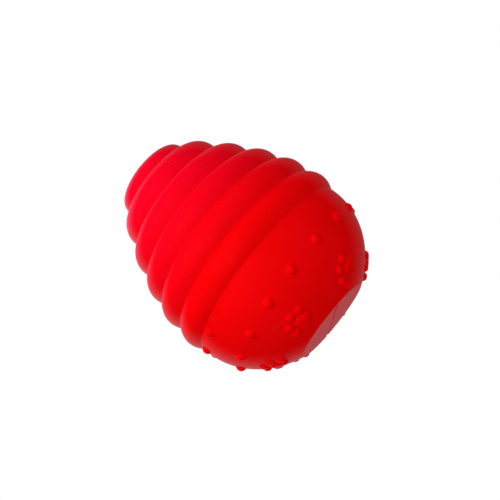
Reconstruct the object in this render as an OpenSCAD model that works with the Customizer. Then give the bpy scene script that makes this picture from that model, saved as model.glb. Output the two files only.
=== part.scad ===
// Ribbed rubber dog toy with a squeaker in its tip.
//
// The toy stands on its flat base at z = 0, with its axis on +Z. The seam between its two
// shell halves lies in the plane x = 0. Angles round the axis start at +X and run towards +Y.

/* [Body] */
// Height from the flat base to the tip
body_height = 100; // [90:1:120]
// Diameter of the smooth dome at its widest
dome_d = 82.4; // [81.6:0.2:84]
// Height of the dome's widest place
dome_z = 30.6; // [28:0.2:32]
// Diameter of the flat base
base_d = 36.4; // [30:0.2:37]
// Thickness of the rubber at a rib's crest and at the dome
wall = 7.6; // [6.5:0.1:8.5]
// Thickness of the rubber in the flat base
floor_wall = 7; // [5:0.5:10]

/* [Ribs] */
// Number of bulging ribs
rib_count = 5; // [4:1:5]
// Crest diameter of the lowest rib
rib_low_d = 86.6; // [84:0.2:90]
// Crest diameter of the highest rib
rib_top_d = 51.8; // [48:0.2:56]
// Height of the lowest rib's crest
rib_low_z = 38.9; // [37:0.1:40]
// Distance from one rib to the next
rib_pitch = 11.2; // [11:0.1:12]
// Radius of a rib's round section
rib_r = 7.7; // [7:0.1:8.5]
// How late the row of ribs starts to narrow: 1 is a straight cone
rib_curve = 1.77; // [1.4:0.01:2.2]

/* [Cap] */
// Diameter of the rounded cap above the ribs
cap_d = 34.8; // [34:0.2:38]
// Height of the cap's widest place
cap_z = 93.6; // [93:0.1:95]
// Squareness of the cap's shoulder: 2 is an ellipse
cap_square = 2.9; // [2:0.1:3.5]

/* [Nubs] */
// Diameter of a nub where it leaves the dome
nub_d = 4.2; // [3:0.1:5]
// How far a nub stands out
nub_proud = 1.6; // [1:0.1:2]
// Number of nubs in the trail that winds round the dome
nub_count = 18; // [10:1:18]
// Angle from one nub to the next
nub_step = 23; // [22.4:0.1:23.3]
// Angle of the trail's first nub
nub_start = 166; // [160:1:169]
// Height of the trail's low end
nub_low_z = 16.4; // [16:0.1:18]
// Height of the trail's high end
nub_high_z = 30.6; // [26:0.1:31]

/* [Paw prints] */
// Number of raised paw prints round the dome
paw_count = 6; // [3:1:6]
// Angle of the first paw print
paw_start = -65; // [-70:1:-60]
// Height of a paw print's main pad
paw_z = 5.4; // [5:0.1:7]
// Distance from the main pad's middle to a toe
toe_reach = 5.8; // [5.7:0.1:6.4]
// Diameter of a toe
toe_d = 4; // [3.6:0.1:4.2]
// How far the toes and the main pad stand out
paw_proud = 1.4; // [1:0.1:1.4]
// Direction that every paw print points in, seen along the toy's axis
paw_heading = -158; // [-180:1:180]

/* [Squeaker] */
// Outer diameter of the squeaker case
case_d = 12; // [11:0.5:13]
// Thickness of the case's side and top
case_wall = 1.2; // [1:0.1:1.5]
// Length of the case
case_length = 16.3; // [16:0.1:17]
// How deep the case sits below the tip
case_recess = 1.2; // [0.8:0.1:1.5]
// Diameter of the collar that the rubber grips
collar_d = 15.6; // [14:0.2:17]
// Thickness of the collar
collar_height = 1.6; // [1.2:0.1:2]
// Diameter of the sound hole in the case's top
sound_hole_d = 4; // [3:0.5:5]
// Width of the reed
reed_w = 3.4; // [3:0.1:4]
// Thickness of the reed
reed_t = 0.2; // [0.15:0.05:0.3]
// Length of the reed from its root bead to its free end
reed_length = 10; // [8:0.1:10]
// Gap between the resting reed and its seat
reed_gap = 0.35; // [0.3:0.05:0.4]

/* [Hidden] */
$fn = 64;

// Dome: an ellipse whose lower part the flat base cuts off
dome_r = dome_d / 2;
base_r = base_d / 2;
dome_half_height = dome_z / sqrt(1 - pow(base_r / dome_r, 2));
dome_low_turn = -asin(dome_z / dome_half_height);
dome_high_turn = 10;
dome_steps = 18;

// Cap: its base is this much narrower than its widest place, and its shoulder turns in steps
cap_lean = 1;
shoulder_step = 5;

// Cavity inside the rubber: its bowl turns in steps, and the neck at its top is a little wider
// than the squeaker case
bowl_step = 10;
neck_gap = 3;
neck_rise = 4;
cavity_r = dome_r - wall;
cavity_half_height = dome_half_height - wall;
cavity_neck_r = case_d / 2 + neck_gap;
cavity_top_z = rib_z(rib_count - 1) + neck_rise;

// Paw print: the turn of each toe from straight ahead, the lobes of the main pad, and the
// height above which all of them stay, to clear the base
toe_turns = [-70, -25, 25, 70];
paw_low_z = 1.6;
pad_lobe_d = 1.2 * toe_d;
pad_front = 1;
pad_back = -1.4;
pad_half_w = 1.9;

// Squeaker case and its bore in the tip
case_r = case_d / 2;
case_in_r = case_r - case_wall;
case_top_z = body_height - case_recess;
case_low_z = case_top_z - case_length;
case_lip = 1.5;
insert_top_z = case_top_z - case_wall;
insert_low_z = case_low_z + case_lip;
collar_below_top = 7.4;
collar_z = case_top_z - collar_below_top;

// Reed, its hinge bead and the air channel under it
clamp_height = 3.6;
bead_r = 0.6;
bead_clearance = 0.05;
bead_below_top = 2;
bead_y = reed_gap + reed_t / 2;
bead_z = insert_top_z - bead_below_top;
slot_side_gap = 0.15;
slot_roof_y = 0.95;
channel_w = 2.4;
channel_depth = 2;
channel_floor = 1.2;

// A cut that starts on a face reaches this much past it
past = 1;

rubber_red = [0.86, 0.02, 0.04];
case_white = [0.9, 0.9, 0.87];
insert_grey = [0.75, 0.77, 0.8];
reed_amber = [0.85, 0.62, 0.25];

// Radius of the dome at height z
function dome_r_at(z) = dome_r * sqrt(1 - pow((dome_z - z) / dome_half_height, 2));

// How far the dome's outward normal leans below the horizontal at height z
function dome_lean(z) =
    atan2((dome_z - z) / pow(dome_half_height, 2), dome_r_at(z) / pow(dome_r, 2));

// Height and crest radius of rib k, counted from the lowest
function rib_z(k) = rib_low_z + rib_pitch * k;
function rib_crest_r(k) =
    rib_low_d / 2 - (rib_low_d - rib_top_d) / 2 * pow(k / (rib_count - 1), rib_curve);

// Points of a quarter of a rounded square, from its side (t = 0) to its top (t = 90)
function shoulder(r, low_z, high_z, square) = [
    for (t = [0 : shoulder_step : 90])
        [r * pow(cos(t), 2 / square), low_z + (high_z - low_z) * pow(sin(t), 2 / square)]
];

// Height of nub i: the trail starts and ends level and climbs round the back
function nub_z(i) =
    let (t = i / (nub_count - 1))
    nub_low_z + (nub_high_z - nub_low_z) * (3 * t * t - 2 * t * t * t);

// Radius of the ball that leaves a surface at diameter d and stands out by h
function bump_r(d, h) = (d * d / 4 + h * h) / (2 * h);

// True where an angle round the axis is on the +X side of the seam
function on_right(angle) = cos(angle) > 0;

// Point number i of the dome's ellipse, from the flat base upwards
function dome_point(i) =
    let (turn = dome_low_turn + (dome_high_turn - dome_low_turn) * i / dome_steps)
    [dome_r * cos(turn), dome_z + dome_half_height * sin(turn)];

// Half section of the whole toy, filled
module body_section() {
    dome_points = [for (i = [0 : dome_steps]) dome_point(i)];
    polygon(concat([[0, 0]], dome_points, [[0, dome_point(dome_steps)[1]]]));
    for (k = [0 : rib_count - 1])
        translate([rib_crest_r(k) - rib_r, rib_z(k)])
            circle(r = rib_r);
    core_points = [for (k = [0 : rib_count - 1]) [rib_crest_r(k) - rib_r, rib_z(k)]];
    polygon(concat([[0, dome_z]], core_points, [[0, rib_z(rib_count - 1)]]));
    cap_base_z = rib_z(rib_count - 1);
    polygon(concat(
        [[0, cap_base_z], [cap_d / 2 - cap_lean, cap_base_z]],
        shoulder(cap_d / 2, cap_z, body_height, cap_square)
    ));
}

// Half section of the air space inside the rubber
module cavity_section() {
    low_points = [
        for (t = [-90 : bowl_step : 0])
            [cavity_r * cos(t), max(floor_wall, dome_z + cavity_half_height * sin(t))]
    ];
    rib_points = [for (k = [0 : 0.5 : rib_count - 1]) [rib_crest_r(k) - wall, rib_z(k)]];
    polygon(concat(
        [[0, floor_wall]],
        low_points,
        rib_points,
        [[cavity_neck_r, cavity_top_z], [0, cavity_top_z]]
    ));
}

// Half section of the bore in the tip that holds the squeaker case
module bore_section() {
    translate([0, floor_wall])
        square([case_r, body_height]);
    translate([0, collar_z])
        square([collar_d / 2, collar_height]);
}

module shell_section() {
    difference() {
        body_section();
        cavity_section();
        bore_section();
    }
}

// Moves a bump onto the dome at an angle and height, with its own +Z pointing outwards
module on_dome(angle, z) {
    rotate([0, 0, angle])
        translate([dome_r_at(z), 0, z])
            rotate([0, 90 + dome_lean(z), 0])
                children();
}

// A ball sunk into the surface at the origin, so that only its cap stands out
module bump(d, h) {
    translate([0, 0, h - bump_r(d, h)])
        sphere(r = bump_r(d, h));
}

// Moves a bump from a paw print's main pad, forward towards its toes and sideways
module on_paw(paw, forward, side) {
    middle = paw_start + 360 / paw_count * paw;
    turn = 90 + middle - paw_heading;
    along = forward * cos(turn) - side * sin(turn);
    up = forward * sin(turn) + side * cos(turn);
    z = max(paw_low_z, paw_z + up * cos(dome_lean(paw_z)));
    angle = middle + along / dome_r_at(z) * 180 / PI;
    on_dome(angle, z)
        children();
}

// Four toes round a three-lobed main pad
module paw_print(paw) {
    for (turn = toe_turns)
        on_paw(paw, toe_reach * cos(turn), toe_reach * sin(turn))
            bump(toe_d, paw_proud);
    on_paw(paw, pad_front, 0)
        bump(pad_lobe_d, paw_proud);
    for (side = [-1, 1])
        on_paw(paw, pad_back, side * pad_half_w)
            bump(pad_lobe_d, paw_proud);
}

module nub(i) {
    on_dome(nub_start + nub_step * i, nub_z(i))
        bump(nub_d, nub_proud);
}

// Half of the rubber shell with the nubs and paw prints on its side of the seam
module shell_half(right) {
    color(rubber_red) {
        rotate([0, 0, right ? -90 : 90])
            rotate_extrude(angle = 180)
                shell_section();
        for (i = [0 : nub_count - 1])
            if (on_right(nub_start + nub_step * i) == right)
                nub(i);
        for (paw = [0 : paw_count - 1])
            if (on_right(paw_start + 360 / paw_count * paw) == right)
                paw_print(paw);
    }
}

module shell_half_left() {
    shell_half(false);
}

module shell_half_right() {
    shell_half(true);
}

// Cup with a sound hole in its top and a collar that the rubber grips
module squeaker_case() {
    color(case_white)
        difference() {
            union() {
                translate([0, 0, case_low_z])
                    cylinder(r = case_r, h = case_length);
                translate([0, 0, collar_z])
                    cylinder(d = collar_d, h = collar_height);
            }
            translate([0, 0, case_low_z - past])
                cylinder(r = case_in_r, h = case_length - case_wall + past);
            translate([0, 0, insert_top_z - past])
                cylinder(d = sound_hole_d, h = case_wall + 2 * past);
        }
}

// Half of a round insert that fills the case between two heights, on one side of y = 0
module half_insert(low_z, high_z, front) {
    rotate([0, 0, front ? 180 : 0])
        translate([0, 0, low_z])
            rotate_extrude(angle = 180)
                square([case_in_r, high_z - low_z]);
}

// A round rod along X at the reed's hinge line
module hinge_rod(r, length) {
    translate([-length / 2, bead_y, bead_z])
        rotate([0, 90, 0])
            cylinder(r = r, h = length);
}

// Half-round seat: the air channel under the reed is shut below and open at the top
module reed_seat() {
    color(insert_grey)
        difference() {
            half_insert(insert_low_z, insert_top_z, true);
            translate([-channel_w / 2, -channel_depth, insert_low_z + channel_floor])
                cube([channel_w, channel_depth + past, case_length]);
            hinge_rod(bead_r + bead_clearance, reed_w + 2 * slot_side_gap);
        }
}

// Short half-round insert that holds the reed's bead and shuts the case above it
module reed_clamp() {
    slot_w = reed_w + 2 * slot_side_gap;
    low_z = insert_top_z - clamp_height;
    color(insert_grey)
        difference() {
            half_insert(low_z, insert_top_z, false);
            translate([-slot_w / 2, -past, low_z - past])
                cube([slot_w, slot_roof_y + past, bead_z - low_z + past]);
            hinge_rod(bead_r + bead_clearance, slot_w);
        }
}

// Thin tongue with a round bead at its root, which it bends about
module reed() {
    color(reed_amber) {
        translate([-reed_w / 2, reed_gap, bead_z - reed_length])
            cube([reed_w, reed_t, reed_length]);
        hinge_rod(bead_r, reed_w);
    }
}

shell_half_left();
shell_half_right();
squeaker_case();
reed_seat();
reed_clamp();
reed();
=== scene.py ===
"""Looks for a ribbed rubber dog toy with a reed squeaker in its tip.

The toy stands on its flat base at z = 0 with its axis on +Z, and the seam between its two
shell halves lies in the plane x = 0. Sizes are in millimetres here and become metres in new_mesh.
"""

import math

import bpy
import numpy as np
from mathutils import Matrix, Vector


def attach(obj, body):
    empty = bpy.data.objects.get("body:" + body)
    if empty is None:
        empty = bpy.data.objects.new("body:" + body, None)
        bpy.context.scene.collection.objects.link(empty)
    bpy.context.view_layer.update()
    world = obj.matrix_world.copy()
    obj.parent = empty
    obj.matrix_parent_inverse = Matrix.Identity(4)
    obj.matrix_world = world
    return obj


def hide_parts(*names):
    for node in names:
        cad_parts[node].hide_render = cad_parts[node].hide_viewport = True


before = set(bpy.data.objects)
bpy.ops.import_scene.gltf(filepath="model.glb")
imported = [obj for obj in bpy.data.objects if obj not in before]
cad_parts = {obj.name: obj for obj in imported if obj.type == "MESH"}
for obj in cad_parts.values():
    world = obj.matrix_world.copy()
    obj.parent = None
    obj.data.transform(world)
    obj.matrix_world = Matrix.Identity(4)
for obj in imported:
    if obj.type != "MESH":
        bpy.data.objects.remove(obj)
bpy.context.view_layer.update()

MM = 0.001

# Rubber body, as in the CAD part
BODY_HEIGHT = 100.0
DOME_R = 41.2
DOME_Z = 30.6
BASE_R = 18.2
WALL = 7.6
FLOOR_WALL = 7.0
DOME_HALF_HEIGHT = DOME_Z / math.sqrt(1 - (BASE_R / DOME_R) ** 2)

# Ribs, counted from the lowest
RIB_COUNT = 5
RIB_LOW_R = 43.3
RIB_TOP_R = 25.9
RIB_LOW_Z = 38.9
RIB_PITCH = 11.2
RIB_R = 7.7
RIB_CURVE = 1.77

# Rounded cap above the ribs
CAP_R = 17.4
CAP_Z = 93.6
CAP_SQUARE = 2.9
CAP_LEAN = 1.0

# Nubs in a trail that winds round the dome
NUB_COUNT = 18
NUB_STEP = 23.0
NUB_START = 166.0
NUB_LOW_Z = 16.4
NUB_HIGH_Z = 30.6
NUB_R = 2.1
NUB_PROUD = 1.6
NUB_FILLET = 0.12

# Height below which all nubs and paw prints lie
DETAILS_TOP_Z = 33.4

# Raised paw prints round the dome
PAW_COUNT = 6
PAW_START = -65.0
PAW_Z = 5.4
PAW_LOW_Z = 1.6
PAW_HEADING = -158.0
PAW_PROUD = 1.4
PAW_SIDE = 1.3
TOE_REACH = 5.8
TOE_R = 2.0
TOE_TURNS = (-70, -25, 25, 70)
LOBE_R = 2.4
LOBE_FRONT = 1.0
LOBE_BACK = -1.4
LOBE_SIDE = 1.9
LOBE_BLEND = 0.5

# Squeaker case in the tip
CASE_R = 6.0
CASE_WALL = 1.2
CASE_TOP_Z = 98.8
CASE_LENGTH = 16.3
COLLAR_R = 7.8
COLLAR_Z = 91.4
COLLAR_HEIGHT = 1.6
SOUND_HOLE_R = 2.0

# Cavity in the rubber
NECK_R = 9.0
CAVITY_TOP_Z = RIB_LOW_Z + RIB_PITCH * (RIB_COUNT - 1) + 4

# Seam between the halves: a fine line that the two moulded edges leave, deepest at the tip and
# on the base. SEAM_FADE is how fast it fades below the tip, and SEAM_STEPS are the places of
# the mesh's columns beside it
SEAM_DEPTH = 0.07
TIP_SEAM_DEPTH = 0.6
SEAM_FADE = 9
SEAM_HALF_WIDTH = 0.16
BASE_SEAM_DEPTH = 0.6
BASE_SEAM_HALF_WIDTH = 0.3
SEAM_STEPS = (0.0, 0.07, 0.14, 0.24, 0.36, 0.55, 0.8)

# Nick where the seam meets the base's far edge
NICK_DEPTH = 0.9
NICK_HALF_WIDTH = 0.4
NICK_HALF_LENGTH = 1.0

# Mesh density: points per half turn of the rubber and per whole turn of the case, points and
# steps along the outlines, and the turn that counts as one more step
COARSE_COLUMNS = 176
FINE_COLUMNS = 2 * COARSE_COLUMNS
CASE_COLUMNS = 96
SHOULDER_POINTS = 400
SIDE_STEP = 0.02
BOWL_STEP = 10
OUTLINE_STEP = 0.04
FINE_STEP = 0.38
CASE_STEP = 0.5
COARSE_STEP = 0.6
BASE_STEP = 1.8
TURN_STEP = math.radians(9)

# Widths over which corners are rounded
EDGE_SOFTNESS = 0.28
CASE_SOFTNESS = 0.12


# Outer shape of the rubber

def dome_radius(z):
    drop = np.clip((DOME_Z - z) / DOME_HALF_HEIGHT, -1, 1)
    return DOME_R * np.sqrt(1 - drop**2)


def rib_z(k):
    return RIB_LOW_Z + RIB_PITCH * k


def rib_crest(k):
    return RIB_LOW_R - (RIB_LOW_R - RIB_TOP_R) * (k / (RIB_COUNT - 1)) ** RIB_CURVE


def rib_radius(k, z):
    """Radius of rib k at height z, or 0 where the rib isn't."""
    reach = RIB_R**2 - (z - rib_z(k)) ** 2
    return np.where(reach > 0, rib_crest(k) - RIB_R + np.sqrt(np.maximum(reach, 0)), 0)


def cap_side_radius(z):
    """Radius of the cap's side, which leans out a little up to its widest place."""
    share = (z - rib_z(RIB_COUNT - 1)) / (CAP_Z - rib_z(RIB_COUNT - 1))
    return np.where(share >= 0, CAP_R - CAP_LEAN * (1 - share), 0)


def body_radius(z):
    """Radius of the body below the cap's shoulder: the outermost of dome, ribs and cap."""
    parts = [np.where(z < RIB_LOW_Z, dome_radius(z), 0), cap_side_radius(z)]
    parts += [rib_radius(k, z) for k in range(RIB_COUNT)]
    return np.max(parts, axis=0)


def shoulder_outline():
    """Cap's rounded shoulder from its widest place to the bore in the tip."""
    turn = np.linspace(0, math.pi / 2, SHOULDER_POINTS)
    r = CAP_R * np.cos(turn) ** (2 / CAP_SQUARE)
    z = CAP_Z + (BODY_HEIGHT - CAP_Z) * np.sin(turn) ** (2 / CAP_SQUARE)
    return np.stack([r, z], 1)[r > CASE_R]


def even_line(start, end, step=0.05):
    count = max(2, int(math.dist(start, end) / step))
    return np.linspace(start, end, count, endpoint=False)


def outer_outline():
    """Half section's outside, from the base's centre to the bore's mouth and down to the collar."""
    z = np.arange(0, CAP_Z, SIDE_STEP)
    side = np.stack([body_radius(z), z], 1)
    shoulder = shoulder_outline()
    collar_top = COLLAR_Z + COLLAR_HEIGHT
    return np.concatenate([
        even_line((0, 0), (BASE_R, 0)),
        side,
        shoulder,
        even_line((CASE_R, shoulder[-1, 1]), (CASE_R, collar_top)),
        [(CASE_R, collar_top)],
    ])


def along(points):
    """Distance along an outline at each of its points."""
    return np.concatenate([[0], np.cumsum(np.hypot(*np.diff(points, axis=0).T))])


def soften(points, width):
    """Rounds an outline's corners and creases, as a moulding's are, and keeps its two ends in place."""
    s = along(points)
    even = np.arange(0, s[-1] + OUTLINE_STEP, OUTLINE_STEP)
    line = np.stack([np.interp(even, s, points[:, i]) for i in (0, 1)], 1)
    reach = int(4 * width / OUTLINE_STEP)
    weights = np.exp(-0.5 * (np.arange(-reach, reach + 1) * OUTLINE_STEP / width) ** 2)
    weights /= weights.sum()
    ends = (2 * line[0] - line[reach:0:-1], 2 * line[-1] - line[-2:-reach - 2:-1])
    padded = np.concatenate([ends[0], line, ends[1]])
    return np.stack([np.convolve(padded[:, i], weights, "valid") for i in (0, 1)], 1)


def tangents(points):
    direction = np.gradient(points, axis=0)
    return direction / np.linalg.norm(direction, axis=1, keepdims=True)


def thin_out(points, step):
    """Fewer points: one every step, and more where the outline turns."""
    direction = tangents(points)
    heading = np.unwrap(np.arctan2(direction[:, 1], direction[:, 0]))
    need = np.diff(along(points)) / step + np.abs(np.diff(heading)) / TURN_STEP
    total = np.concatenate([[0], np.cumsum(need)])
    picks = np.linspace(0, total[-1], int(math.ceil(total[-1])) + 1)
    return np.stack([np.interp(picks, total, points[:, i]) for i in (0, 1)], 1)


def inner_outline():
    """Half section's inside, from the collar's groove down round the cavity to the floor."""
    collar_top = COLLAR_Z + COLLAR_HEIGHT
    turns = np.radians(np.arange(-90, 1, BOWL_STEP))
    half_height = DOME_HALF_HEIGHT - WALL
    bowl_z = np.maximum(FLOOR_WALL, DOME_Z + half_height * np.sin(turns))
    bowl = np.stack([(DOME_R - WALL) * np.cos(turns), bowl_z], 1)
    ribs = [(rib_crest(k) - WALL, rib_z(k)) for k in np.arange(0, RIB_COUNT - 0.5, 0.5)]
    corners = [(COLLAR_R, collar_top), (COLLAR_R, COLLAR_Z), (CASE_R, COLLAR_Z), (CASE_R, CAVITY_TOP_Z)]
    corners += [(NECK_R, CAVITY_TOP_Z)] + ribs[::-1] + list(bowl[:0:-1])
    return np.array(corners)


# Raised details on the dome

def dome_spot(angle, z):
    """Place on the dome and the outward normal there, in the row frame."""
    r = float(dome_radius(z))
    lean = math.atan2((DOME_Z - z) / DOME_HALF_HEIGHT**2, r / DOME_R**2)
    a = math.radians(angle)
    place = np.array([r * math.cos(a), r * math.sin(a), z])
    normal = np.array([math.cos(a) * math.cos(lean), math.sin(a) * math.cos(lean), -math.sin(lean)])
    return place, normal


def distance_on_dome(points, angle, z):
    """Distance of points from a spot, measured in the plane that touches the dome there."""
    place, normal = dome_spot(angle, z)
    offset = points - place
    height = offset @ normal
    flat = np.linalg.norm(offset - height[..., None] * normal, axis=-1)
    far_away = 1000.0
    return np.where(np.abs(height) < 3 * NUB_R, flat, far_away)


def nub_height(distance):
    """Height of a round nub: nearly half a ball, with a small fillet at its foot."""
    ball_r = (NUB_R**2 + NUB_PROUD**2) / (2 * NUB_PROUD)
    inside = np.sqrt(np.maximum(ball_r**2 - distance**2, 0))
    fall = 4
    rise = NUB_PROUD - ball_r + inside - fall * np.maximum(distance - ball_r, 0)
    filleted = (rise + np.sqrt(rise**2 + 4 * NUB_FILLET**2)) / 2
    sunk = 0.01
    return np.where(distance < 2 * NUB_R, filleted - sunk, 0)


def pad_height(depth):
    """Height of a paw print's pad at a depth inside its outline: steep sides and a rounded top."""
    share = np.clip(depth / PAW_SIDE, 0, 1)
    return PAW_PROUD * np.sin(share * math.pi / 2)


def nubs(points):
    """Height that the nubs add at points on the dome."""
    height = np.zeros(points.shape[:-1])
    for i in range(NUB_COUNT):
        t = i / (NUB_COUNT - 1)
        z = NUB_LOW_Z + (NUB_HIGH_Z - NUB_LOW_Z) * (3 * t**2 - 2 * t**3)
        height = np.maximum(height, nub_height(distance_on_dome(points, NUB_START + NUB_STEP * i, z)))
    return height


def paw_spot(paw, forward, side):
    """Angle and height of a spot on a paw print, forward towards its toes and to the side."""
    middle = PAW_START + 360 / PAW_COUNT * paw
    turn = math.radians(90 + middle - PAW_HEADING)
    across = forward * math.cos(turn) - side * math.sin(turn)
    up = forward * math.sin(turn) + side * math.cos(turn)
    lean = math.atan2((DOME_Z - PAW_Z) / DOME_HALF_HEIGHT**2, float(dome_radius(PAW_Z)) / DOME_R**2)
    z = max(PAW_LOW_Z, PAW_Z + up * math.cos(lean))
    return middle + math.degrees(across / float(dome_radius(z))), z


def blended(depths):
    """Depth inside the outline of several lobes that run into one another smoothly."""
    limit = 40
    shares = np.exp(np.clip(depths / LOBE_BLEND, -limit, limit))
    return LOBE_BLEND * np.log(np.sum(shares, axis=0))


def paw_prints(points):
    """Height that the paw prints add at points on the dome."""
    height = np.zeros(points.shape[:-1])
    for paw in range(PAW_COUNT):
        for turn in map(math.radians, TOE_TURNS):
            spot = paw_spot(paw, TOE_REACH * math.cos(turn), TOE_REACH * math.sin(turn))
            height = np.maximum(height, pad_height(TOE_R - distance_on_dome(points, *spot)))
        lobes = [(LOBE_FRONT, 0), (LOBE_BACK, LOBE_SIDE), (LOBE_BACK, -LOBE_SIDE)]
        depths = [LOBE_R - distance_on_dome(points, *paw_spot(paw, *lobe)) for lobe in lobes]
        height = np.maximum(height, pad_height(blended(np.array(depths))))
    return height


# Turned meshes

def column_angles(r, count, start):
    """Angles of a ring's points over a half turn, closer together near the seam at both ends."""
    even = np.linspace(0, math.pi, count + 1)
    steps = np.array(SEAM_STEPS[:: FINE_COLUMNS // count])
    near = np.minimum(steps / max(r, 1e-6), even[: len(steps)])
    middle = np.linspace(near[-1], math.pi - near[-1], count + 3 - 2 * len(near))
    return start + np.concatenate([near, middle[1:-1], math.pi - near[::-1]])


def shell_rings():
    """The closed half section as rings: (radius, z, normal, points per half turn, on the dome)."""
    outline = soften(outer_outline(), EDGE_SOFTNESS)
    base_end = np.argmax(outline[:, 0] > BASE_R - 3 * EDGE_SOFTNESS)
    dome_end = np.argmax(outline[:, 1] > DETAILS_TOP_Z)
    base = thin_out(outline[:base_end], BASE_STEP)
    dome = thin_out(outline[base_end:dome_end], FINE_STEP)
    upper = thin_out(outline[dome_end:], COARSE_STEP)
    inner = inner_outline()
    rings = []
    sections = [(base, COARSE_COLUMNS, False), (dome, FINE_COLUMNS, True), (upper, COARSE_COLUMNS, False)]
    for part, count, on_dome in sections:
        direction = tangents(part)
        for (r, z), (tr, tz) in zip(part, direction):
            rings.append((r, z, (tz, -tr), count, on_dome))
    rings += [(r, z, (0, 0), COARSE_COLUMNS, False) for r, z in inner]
    return rings[1:]


def seam_depth(points):
    """Depth of the seam line at a ring's points, and of the nick in the base's far edge."""
    x, y, z = points.T
    on_base = z[0] < 0.05
    side_depth = SEAM_DEPTH + (TIP_SEAM_DEPTH - SEAM_DEPTH) * (z[0] / BODY_HEIGHT) ** SEAM_FADE
    depth = BASE_SEAM_DEPTH if on_base else side_depth
    half_width = BASE_SEAM_HALF_WIDTH if on_base else SEAM_HALF_WIDTH
    line = depth * np.exp(-((x / half_width) ** 2))
    away = np.hypot(y - BASE_R, z) / NICK_HALF_LENGTH
    nick = NICK_DEPTH * np.exp(-((x / NICK_HALF_WIDTH) ** 2) - away**2)
    return np.maximum(line, nick)


def ring_points(ring, start):
    """Points of one ring over half a turn, with the dome's details raised and the seam cut in."""
    r, z, (nr, nz), count, on_dome = ring
    angles = column_angles(r, count, start)
    around = np.stack([np.cos(angles), np.sin(angles)], 1)
    points = np.column_stack([r * around, np.full(count + 1, z)])
    normals = np.column_stack([nr * around, np.full(count + 1, nz)])
    push = np.zeros(count + 1)
    if on_dome:
        push = np.maximum(nubs(points), paw_prints(points))
    if (nr, nz) != (0, 0):
        push = push - seam_depth(points)
    points = points + push[:, None] * normals
    points[[0, -1], 0] = 0
    return points


def join_rings(low, high):
    """Faces between two rings of point numbers; one may have twice as many points as the other."""
    if len(low) == len(high):
        return [(low[j], low[j + 1], high[j + 1], high[j]) for j in range(len(low) - 1)]
    if len(low) > len(high):
        return [
            (low[2 * j], low[2 * j + 1], low[2 * j + 2], high[j + 1], high[j])
            for j in range(len(high) - 1)
        ]
    return [
        (low[j], low[j + 1], high[2 * j + 2], high[2 * j + 1], high[2 * j])
        for j in range(len(low) - 1)
    ]


def new_mesh(name, points, faces, flat_faces=0):
    """Smooth closed mesh from points in millimetres. The last flat_faces faces stay flat."""
    mesh = bpy.data.meshes.new(name)
    mesh.from_pydata((np.asarray(points) * MM).tolist(), [], faces)
    smooth = np.ones(len(faces), bool)
    if flat_faces:
        smooth[-flat_faces:] = False
    mesh.polygons.foreach_set("use_smooth", smooth)
    mesh.set_sharp_from_angle(angle=math.radians(70))
    mesh.update()
    obj = bpy.data.objects.new(name, mesh)
    bpy.context.scene.collection.objects.link(obj)
    return obj


def shell_half(name, start):
    """Half of the rubber shell, turned over half a turn from the angle start, with its flat seam face."""
    points = [(0, 0, 0), (0, 0, FLOOR_WALL)]
    numbers = []
    for ring in shell_rings():
        placed = ring_points(ring, start)
        numbers.append(np.arange(len(points), len(points) + len(placed)).tolist())
        points.extend(placed.tolist())
    first, last = numbers[0], numbers[-1]
    faces = [(0, first[j + 1], first[j]) for j in range(len(first) - 1)]
    for low, high in zip(numbers, numbers[1:]):
        faces += join_rings(low, high)
    faces += [(last[j], last[j + 1], 1) for j in range(len(last) - 1)]
    near_side = [ring[0] for ring in numbers]
    far_side = [ring[-1] for ring in numbers[::-1]]
    faces.append([0] + near_side + [1] + far_side)
    return new_mesh(name, points, faces, flat_faces=1)


def turned_solid(name, corners):
    """Closed solid turned from a closed outline of (radius, z) corners whose edges are softened."""
    loop = np.array(list(corners) + [corners[0]], float)
    lines = [even_line(a, b) for a, b in zip(loop, loop[1:])]
    closed = np.concatenate(lines)
    doubled = np.concatenate([closed, closed, closed[:1]])
    softened = soften(doubled, CASE_SOFTNESS)
    half = len(softened) // 2
    outline = thin_out(softened[half // 2 : half // 2 + half + 1], CASE_STEP)[:-1]
    turns = np.linspace(0, 2 * math.pi, CASE_COLUMNS, endpoint=False)
    points = [(r * math.cos(a), r * math.sin(a), z) for r, z in outline for a in turns]
    faces = []
    for i in range(len(outline)):
        low = i * CASE_COLUMNS
        high = (i + 1) % len(outline) * CASE_COLUMNS
        for j in range(CASE_COLUMNS):
            k = (j + 1) % CASE_COLUMNS
            faces.append((low + j, low + k, high + k, high + j))
    return new_mesh(name, points, faces)


def squeaker_case():
    """Cup with a sound hole in its roof and a collar that the rubber grips."""
    low_z = CASE_TOP_Z - CASE_LENGTH
    inner_r = CASE_R - CASE_WALL
    collar_top = COLLAR_Z + COLLAR_HEIGHT
    roof_z = CASE_TOP_Z - CASE_WALL
    corners = [
        (inner_r, low_z),
        (CASE_R, low_z),
        (CASE_R, COLLAR_Z),
        (COLLAR_R, COLLAR_Z),
        (COLLAR_R, collar_top),
        (CASE_R, collar_top),
        (CASE_R, CASE_TOP_Z),
        (SOUND_HOLE_R, CASE_TOP_Z),
        (SOUND_HOLE_R, roof_z),
        (inner_r, roof_z),
    ]
    return turned_solid("case_moulding", corners)


# Materials

# Egg that has about the toy's overall shape: its middle's height, how much flatter than a
# ball's its normals are along the axis, and how much they count against the true ones
EGG_MIDDLE_Z = 45.0
EGG_FLATNESS = 0.65
EGG_WEIGHT = 0.6

# Height where a painted pink sheen starts on the rubber. It grows towards the tip and stands in for the
# reflection of light from the left
PAINTED_SHEEN_START_Z = 40.0

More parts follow.
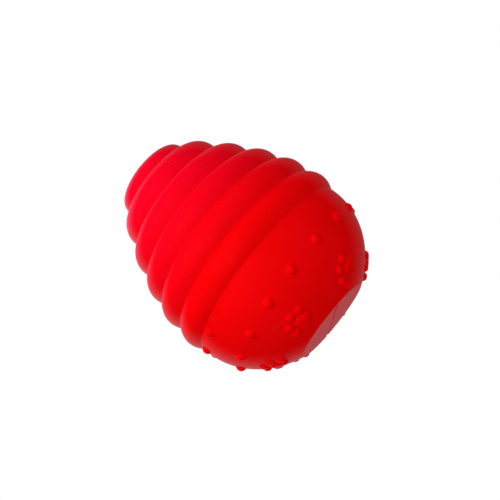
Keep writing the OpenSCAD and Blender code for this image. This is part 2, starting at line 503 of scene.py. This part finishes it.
# Colours of the rubber, its film and the squeaker's pieces
RUBBER_RED = (0.84, 0.0004, 0.001)
RUBBER_BRIGHT = (0.88, 0.0006, 0.002)
# Painted pink sheen at the tip: reflected light from the left, put into the colour
RUBBER_TIP_PAINTED_SHEEN = (0.87, 0.0006, 0.02)
RUBBER_SPECK = (0.76, 0.0003, 0.001)
RUBBER_SCUFF = (0.80, 0.009, 0.012)
RUBBER_FILM = (1.0, 0.87, 0.92, 1)
CASE_LIGHT = (0.86, 0.86, 0.82)
CASE_DARK = (0.80, 0.80, 0.77)
INSERT_LIGHT = (0.66, 0.69, 0.73)
INSERT_DARK = (0.58, 0.61, 0.66)
REED_LIGHT = (0.86, 0.60, 0.20)
REED_DARK = (0.70, 0.42, 0.12)
REED_SCUFF = (0.60, 0.40, 0.18)


def new_material(name):
    """A new material, its node tree and the tree's Principled shader."""
    material = bpy.data.materials.new(name)
    material.use_nodes = True
    tree = material.node_tree
    return material, tree, tree.nodes["Principled BSDF"]


def noise(tree, scale, detail=3.0, roughness=0.5):
    """Noise over the object's own space. Scale is in features per metre."""
    place = tree.nodes.new("ShaderNodeTexCoord")
    node = tree.nodes.new("ShaderNodeTexNoise")
    node.inputs["Scale"].default_value = scale
    node.inputs["Detail"].default_value = detail
    node.inputs["Roughness"].default_value = roughness
    tree.links.new(place.outputs["Object"], node.inputs["Vector"])
    return node.outputs["Fac"]


def ramp(tree, value, low, high, start, end):
    """Maps value from low..high to start..end, held at both ends."""
    node = tree.nodes.new("ShaderNodeMapRange")
    for name, number in (("From Min", low), ("From Max", high), ("To Min", start), ("To Max", end)):
        node.inputs[name].default_value = number
    tree.links.new(value, node.inputs["Value"])
    return node.outputs["Result"]


def mix_colours(tree, factor, first, second):
    """Mixes two colours, each a tuple or another node's output."""
    node = tree.nodes.new("ShaderNodeMix")
    node.data_type = "RGBA"
    tree.links.new(factor, node.inputs["Factor"])
    for name, colour in (("A", first), ("B", second)):
        socket = next(s for s in node.inputs if s.name == name and s.type == "RGBA")
        if isinstance(colour, tuple):
            socket.default_value = (*colour, 1)
        else:
            tree.links.new(colour, socket)
    return next(s for s in node.outputs if s.type == "RGBA")


def add_bump(tree, shader, height, distance, strength=1.0, below=None):
    """Adds a bump from height on top of the bump below it, and returns its normal."""
    node = tree.nodes.new("ShaderNodeBump")
    node.inputs["Strength"].default_value = strength
    node.inputs["Distance"].default_value = distance
    tree.links.new(height, node.inputs["Height"])
    if below is not None:
        tree.links.new(below, node.inputs["Normal"])
    tree.links.new(node.outputs["Normal"], shader.inputs["Normal"])
    return node.outputs["Normal"]


def vector_math(tree, operation, first, second=None, third=None):
    """A vector sum, each input a tuple or another node's output. Returns the node."""
    node = tree.nodes.new("ShaderNodeVectorMath")
    node.operation = operation
    for socket, value in zip(node.inputs, (first, second, third)):
        if isinstance(value, tuple):
            socket.default_value = value
        elif value is not None:
            tree.links.new(value, socket)
    return node


def grazing_share(tree, start, least, most):
    """Least where the surface faces the camera, rising to most where it turns away beyond start.

    The normal is evened out with that of a smooth egg, so that ribs and nubs have no pale outlines.
    The flat base keeps its own.
    """
    place = tree.nodes.new("ShaderNodeTexCoord").outputs["Object"]
    geometry = tree.nodes.new("ShaderNodeNewGeometry")
    sunk = (0, 0, -EGG_MIDDLE_Z * EGG_FLATNESS * MM)
    egg = vector_math(tree, "MULTIPLY_ADD", place, (1, 1, EGG_FLATNESS), sunk).outputs["Vector"]
    egg_normal = vector_math(tree, "NORMALIZE", egg).outputs["Vector"]
    parts = tree.nodes.new("ShaderNodeSeparateXYZ")
    tree.links.new(place, parts.inputs["Vector"])
    scaled = vector_math(tree, "SCALE", egg_normal)
    above_base = ramp(tree, parts.outputs["Z"], 0.1 * MM, 0.6 * MM, 0, EGG_WEIGHT)
    tree.links.new(above_base, scaled.inputs["Scale"])
    both = vector_math(tree, "ADD", scaled.outputs["Vector"], geometry.outputs["Normal"]).outputs["Vector"]
    normal = vector_math(tree, "NORMALIZE", both).outputs["Vector"]
    facing = vector_math(tree, "DOT_PRODUCT", normal, geometry.outputs["Incoming"]).outputs["Value"]
    share = ramp(tree, facing, 1 - start, 0, math.sqrt(least), math.sqrt(most))
    square = tree.nodes.new("ShaderNodeMath")
    square.operation = "POWER"
    square.inputs[1].default_value = 2
    tree.links.new(share, square.inputs[0])
    return square.outputs["Value"]


def scuffs(tree, most):
    """Share of the surface that handling has scuffed: a few small worn patches."""
    return ramp(tree, noise(tree, 140, 6, 0.7), 0.62, 0.74, 0, most)


def red_rubber():
    """Satin moulded rubber: strong red, with a painted pink sheen that grows towards the tip, and a pale
    film at grazing angles.
    """
    material, tree, shader = new_material("red_rubber")
    blotches = ramp(tree, noise(tree, 60, 4), 0.35, 0.65, 0, 1)
    specks = ramp(tree, noise(tree, 900, 2), 0.62, 0.78, 0, 0.5)
    height = tree.nodes.new("ShaderNodeSeparateXYZ")
    tree.links.new(tree.nodes.new("ShaderNodeTexCoord").outputs["Object"], height.inputs["Vector"])
    # Painted pink sheen: the colour turns pinker towards the tip, standing in for reflected light
    painted_sheen_share = ramp(tree, height.outputs["Z"], PAINTED_SHEEN_START_Z * MM, BODY_HEIGHT * MM, 0, 1)
    even = mix_colours(tree, blotches, RUBBER_RED, RUBBER_BRIGHT)
    body = mix_colours(tree, painted_sheen_share, even, RUBBER_TIP_PAINTED_SHEEN)
    speckled = mix_colours(tree, specks, body, RUBBER_SPECK)
    colour = mix_colours(tree, scuffs(tree, 0.6), speckled, RUBBER_SCUFF)
    tree.links.new(colour, shader.inputs["Base Color"])
    roughness = ramp(tree, noise(tree, 420, 4), 0.3, 0.7, 0.40, 0.52)
    tree.links.new(roughness, shader.inputs["Roughness"])
    shader.inputs["Specular IOR Level"].default_value = 0.0
    peel = add_bump(tree, shader, noise(tree, 700, 3), 0.06 * MM, 0.5)
    grain = add_bump(tree, shader, noise(tree, 4500, 2), 0.01 * MM, 0.6, peel)
    film = tree.nodes.new("ShaderNodeBsdfGlossy")
    film.inputs["Color"].default_value = RUBBER_FILM
    tree.links.new(roughness, film.inputs["Roughness"])
    tree.links.new(grain, film.inputs["Normal"])
    mix = tree.nodes.new("ShaderNodeMixShader")
    tree.links.new(grazing_share(tree, 0.48, 0.0008, 0.26), mix.inputs["Fac"])
    tree.links.new(shader.outputs["BSDF"], mix.inputs[1])
    tree.links.new(film.outputs["BSDF"], mix.inputs[2])
    tree.links.new(mix.outputs["Shader"], tree.nodes["Material Output"].inputs["Surface"])
    return material


def moulded_plastic(name, light, dark, rough):
    """Matte moulded plastic with a faint texture and slightly uneven colour."""
    material, tree, shader = new_material(name)
    uneven = mix_colours(tree, ramp(tree, noise(tree, 350, 4), 0.3, 0.7, 0, 1), light, dark)
    worn = tuple(0.8 * part for part in dark)
    colour = mix_colours(tree, scuffs(tree, 0.5), uneven, worn)
    tree.links.new(colour, shader.inputs["Base Color"])
    roughness = ramp(tree, noise(tree, 900, 4), 0.3, 0.7, rough - 0.06, rough + 0.08)
    tree.links.new(roughness, shader.inputs["Roughness"])
    texture = add_bump(tree, shader, noise(tree, 5000, 2), 0.01 * MM, 0.5)
    add_bump(tree, shader, noise(tree, 400, 2), 0.04 * MM, 0.3, texture)
    return material


def reed_film():
    """Thin glossy film with fine streaks along its length."""
    material, tree, shader = new_material("reed_film")
    place = tree.nodes.new("ShaderNodeTexCoord")
    stretch = tree.nodes.new("ShaderNodeMapping")
    stretch.inputs["Scale"].default_value = (1, 1, 0.04)
    tree.links.new(place.outputs["Object"], stretch.inputs["Vector"])
    streaks = tree.nodes.new("ShaderNodeTexNoise")
    streaks.inputs["Scale"].default_value = 9000
    tree.links.new(stretch.outputs["Vector"], streaks.inputs["Vector"])
    streaked = mix_colours(tree, streaks.outputs["Fac"], REED_LIGHT, REED_DARK)
    colour = mix_colours(tree, scuffs(tree, 0.5), streaked, REED_SCUFF)
    tree.links.new(colour, shader.inputs["Base Color"])
    tree.links.new(ramp(tree, streaks.outputs["Fac"], 0.3, 0.7, 0.18, 0.32), shader.inputs["Roughness"])
    shader.inputs["Transmission Weight"].default_value = 0.15
    add_bump(tree, shader, streaks.outputs["Fac"], 0.01 * MM, 0.5)
    return material


def dress(obj, material):
    obj.data.materials.clear()
    obj.data.materials.append(material)


def stand_in(obj, node_name, material):
    """Puts a piece in the place of one of the toy's CAD nodes."""
    dress(obj, material)
    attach(obj, "toy")
    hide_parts(node_name)


def finish_node(node_name, material):
    """Gives a CAD node its material."""
    dress(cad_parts[node_name], material)


# Floor, light and camera

# Cosines of the angles from the backdrop's middle where its reflection starts to fade and ends
BACKDROP_START = 0.9
BACKDROP_END = 0.5

# Floor's side, and the gap that keeps it and the flat base from being the same plane
FLOOR_SIDE = 6000
FLOOR_GAP = 0.02

# Distances from the toy, in metres, between which the floor fades out
FLOOR_FADE_START = 0.2
FLOOR_FADE_END = 0.9


def floor_material():
    """Pale floor that fades into the background, and that a camera below it sees through."""
    material, tree, shader = new_material("pale_floor")
    shade = ramp(tree, noise(tree, 6, 4), 0.3, 0.7, 0.80, 0.84)
    tree.links.new(shade, shader.inputs["Base Color"])
    shader.inputs["Roughness"].default_value = 0.8
    camera_place = tree.nodes.new("ShaderNodeVectorTransform")
    camera_place.vector_type = "POINT"
    camera_place.convert_from = "CAMERA"
    camera_place.convert_to = "WORLD"
    camera_place.inputs["Vector"].default_value = (0, 0, 0)
    parts = tree.nodes.new("ShaderNodeSeparateXYZ")
    tree.links.new(camera_place.outputs["Vector"], parts.inputs["Vector"])
    below = tree.nodes.new("ShaderNodeMath")
    below.operation = "LESS_THAN"
    below.inputs[1].default_value = 0
    tree.links.new(parts.outputs["Z"], below.inputs[0])
    distance = tree.nodes.new("ShaderNodeVectorMath")
    distance.operation = "LENGTH"
    tree.links.new(tree.nodes.new("ShaderNodeTexCoord").outputs["Object"], distance.inputs[0])
    far = ramp(tree, distance.outputs["Value"], FLOOR_FADE_START, FLOOR_FADE_END, 0, 1)
    hidden = tree.nodes.new("ShaderNodeMath")
    hidden.operation = "MAXIMUM"
    tree.links.new(below.outputs["Value"], hidden.inputs[0])
    tree.links.new(far, hidden.inputs[1])
    clear = tree.nodes.new("ShaderNodeBsdfTransparent")
    mix = tree.nodes.new("ShaderNodeMixShader")
    tree.links.new(hidden.outputs["Value"], mix.inputs["Fac"])
    tree.links.new(shader.outputs["BSDF"], mix.inputs[1])
    tree.links.new(clear.outputs["BSDF"], mix.inputs[2])
    tree.links.new(mix.outputs["Shader"], tree.nodes["Material Output"].inputs["Surface"])
    return material


def floor():
    """Square floor just below the toy's base."""
    half = FLOOR_SIDE / 2
    corners = [(x, y, -FLOOR_GAP) for x, y in ((-half, -half), (half, -half), (half, half), (-half, half))]
    plane = new_mesh("floor", corners, [(0, 1, 2, 3)])
    dress(plane, floor_material())


def background(tree, strength):
    """White background of a strength, which is a number or another node's output."""
    node = tree.nodes.new("ShaderNodeBackground")
    node.inputs["Color"].default_value = (1, 1, 1, 1)
    if isinstance(strength, (int, float)):
        node.inputs["Strength"].default_value = strength
    else:
        tree.links.new(strength, node.inputs["Strength"])
    return node.outputs["Background"]


def studio_world(light_level, dark_reflection, backdrop):
    """White surroundings, with a bright backdrop and a darker room round it in reflections."""
    world = bpy.data.worlds.new("studio")
    world.use_nodes = True
    tree = world.node_tree
    tree.nodes.clear()
    place = tree.nodes.new("ShaderNodeTexCoord")
    towards = tree.nodes.new("ShaderNodeVectorMath")
    towards.operation = "DOT_PRODUCT"
    tree.links.new(place.outputs["Generated"], towards.inputs[0])
    towards.inputs[1].default_value = backdrop
    reflection = ramp(tree, towards.outputs["Value"], BACKDROP_END, BACKDROP_START, dark_reflection, 1)
    path = tree.nodes.new("ShaderNodeLightPath")
    shaders = [background(tree, light_level), background(tree, reflection), background(tree, 1)]
    shader = shaders[0]
    for ray, other in zip(("Is Glossy Ray", "Is Camera Ray"), shaders[1:]):
        mix = tree.nodes.new("ShaderNodeMixShader")
        tree.links.new(path.outputs[ray], mix.inputs["Fac"])
        tree.links.new(shader, mix.inputs[1])
        tree.links.new(other, mix.inputs[2])
        shader = mix.outputs["Shader"]
    output = tree.nodes.new("ShaderNodeOutputWorld")
    tree.links.new(shader, output.inputs["Surface"])
    bpy.context.scene.world = world


def softbox(name, direction, distance, size, power, colour):
    """Square area light that faces the toy's middle from a direction."""
    data = bpy.data.lights.new(name, "AREA")
    data.color = colour
    data.shape = "SQUARE"
    data.size = size
    data.energy = power
    light = bpy.data.objects.new(name, data)
    aim = Vector((0, 0, BODY_HEIGHT / 2)) * MM
    towards = Vector(direction).normalized()
    light.location = aim + towards * distance
    light.rotation_euler = towards.to_track_quat("Z", "Y").to_euler()
    bpy.context.scene.collection.objects.link(light)
    return light


def light_only(light, pieces):
    """Lets a light reach these pieces and nothing else, so that its tint stays off the floor."""
    receivers = bpy.data.collections.new(light.name + "_receivers")
    for piece in pieces:
        receivers.objects.link(piece)
    light.light_linking.receiver_collection = receivers


# Camera: below the toy's base plane, turned so that the tip points up and to the left
CAMERA_AZIMUTH = -20.0
CAMERA_ELEVATION = -13.11
CAMERA_ROLL = 51.58
CAMERA_DISTANCE = 462.9
CAMERA_LENS = 81.9
AIM_Z = 45.0
AIM_RIGHT = 1.54
AIM_UP = -0.73


def photo_camera():
    """Camera at the photo's viewing angle."""
    a, e, roll = (math.radians(x) for x in (CAMERA_AZIMUTH, CAMERA_ELEVATION, CAMERA_ROLL))
    right = Vector((math.cos(a), math.sin(a), 0))
    forward = Vector((-math.sin(a) * math.cos(e), math.cos(a) * math.cos(e), -math.sin(e)))
    up = right.cross(forward)
    aim = Vector((0, 0, AIM_Z)) + right * AIM_RIGHT + up * AIM_UP
    data = bpy.data.cameras.new("camera")
    data.lens = CAMERA_LENS
    data.sensor_width = 36
    data.clip_start = 0.01
    data.clip_end = 20
    camera = bpy.data.objects.new("camera", data)
    bpy.context.scene.collection.objects.link(camera)
    across = right * math.cos(roll) - up * math.sin(roll)
    upward = right * math.sin(roll) + up * math.cos(roll)
    turn = Matrix((across, upward, -forward)).transposed().to_4x4()
    camera.matrix_world = Matrix.Translation((aim - forward * CAMERA_DISTANCE) * MM) @ turn
    bpy.context.scene.camera = camera


# The toy in its scene

rubber = red_rubber()
right = shell_half("rubber_half_right", -math.pi / 2)
stand_in(right, "shell_half_right", rubber)
left = shell_half("rubber_half_left", math.pi / 2)
stand_in(left, "shell_half_left", rubber)

case_plastic = moulded_plastic("case_plastic", CASE_LIGHT, CASE_DARK, 0.45)
stand_in(squeaker_case(), "squeaker_case", case_plastic)

insert_plastic = moulded_plastic("insert_plastic", INSERT_LIGHT, INSERT_DARK, 0.4)
finish_node("reed_seat", insert_plastic)
finish_node("reed_clamp", insert_plastic)
finish_node("reed", reed_film())

floor()
studio_world(light_level=0.5, dark_reflection=0.04, backdrop=(-0.1, 0.97, 0.21))
softbox("key", (-0.58, -0.40, 0.71), 0.34, 0.3, 0.44, (1, 1, 1))
softbox("fill", (-0.56, -0.88, 0.12), 1.0, 0.8, 4.5, (1, 1, 1))
light_only(softbox("edge", (-0.45, 0.25, 0.85), 1.0, 1.0, 2.5, (0.3, 0.3, 1.2)), (left, right))
photo_camera()

bpy.context.scene.view_settings.view_transform = "Standard"
